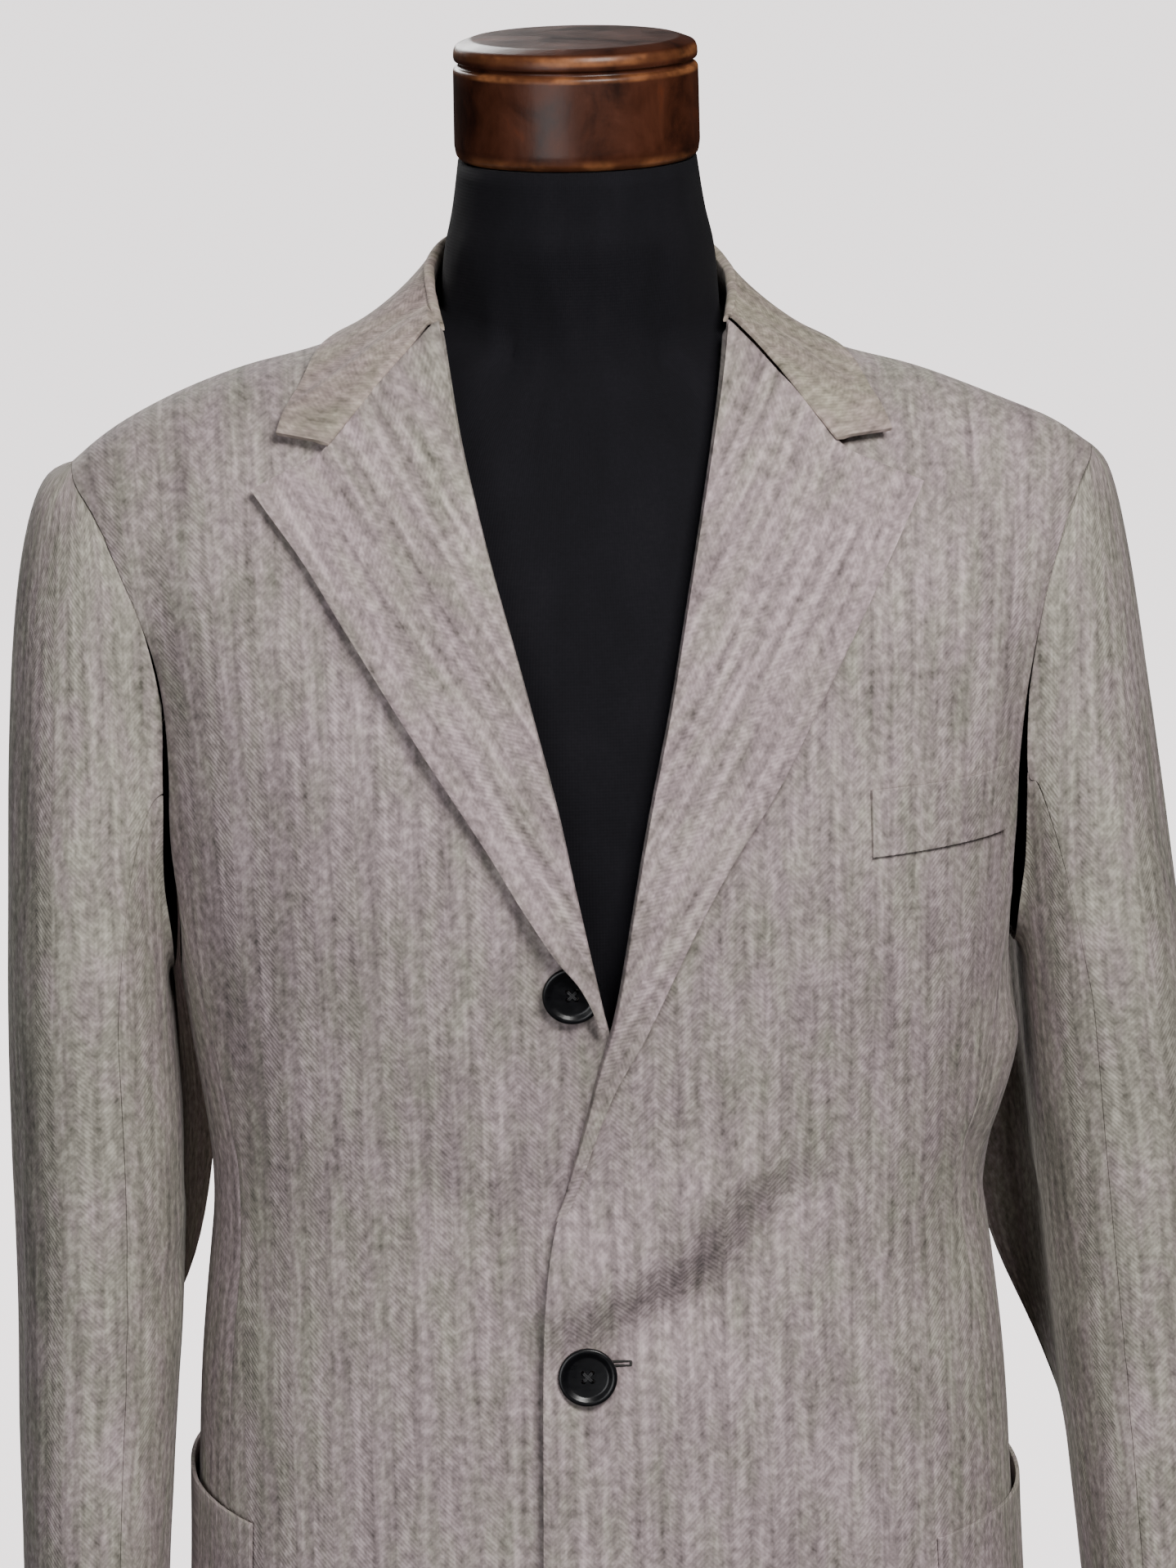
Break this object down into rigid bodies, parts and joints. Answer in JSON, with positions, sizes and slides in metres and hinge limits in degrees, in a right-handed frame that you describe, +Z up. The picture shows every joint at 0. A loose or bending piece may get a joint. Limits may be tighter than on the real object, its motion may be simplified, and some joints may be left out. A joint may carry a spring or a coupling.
{
  "type": "blazer on a dress form",
  "caption": "Tweed blazer with notched lapels, a lapped buttoned front, a chest welt and patch pockets, worn by a limbless dress form with a turned wooden neck cap and a round stand.",
  "frame": {"origin": "centre of the stand's base, on the floor", "axes": "+Z up, the wearer faces -Y, +X towards the wearer's left"},
  "size_m": [0.5575, 0.38, 0.9845],
  "materials": {
    "tweed": "brushed wool, warm grey melange",
    "horn": "black, half gloss",
    "jersey": "fine black jersey",
    "lacquered_wood": "dark brown lacquer, rubbed at the edges",
    "black_metal": "satin black"
  },
  "bodies": {
    "root": {"front_left": "tweed", "front_right": "tweed", "side_left": "tweed", "side_right": "tweed", "back_left": "tweed", "back_right": "tweed", "lapel_left": "tweed", "lapel_right": "tweed", "collar": "tweed", "sleeve_top_left": "tweed", "sleeve_top_right": "tweed", "sleeve_under_left": "tweed", "sleeve_under_right": "tweed", "breast_welt": "tweed", "pocket_left": "tweed", "pocket_right": "tweed", "button_upper": "horn", "button_lower": "horn", "form_torso": "jersey", "neck_cap": "lacquered_wood", "stand_post": "black_metal", "stand_base": "black_metal"}
  },
  "joints": []
}
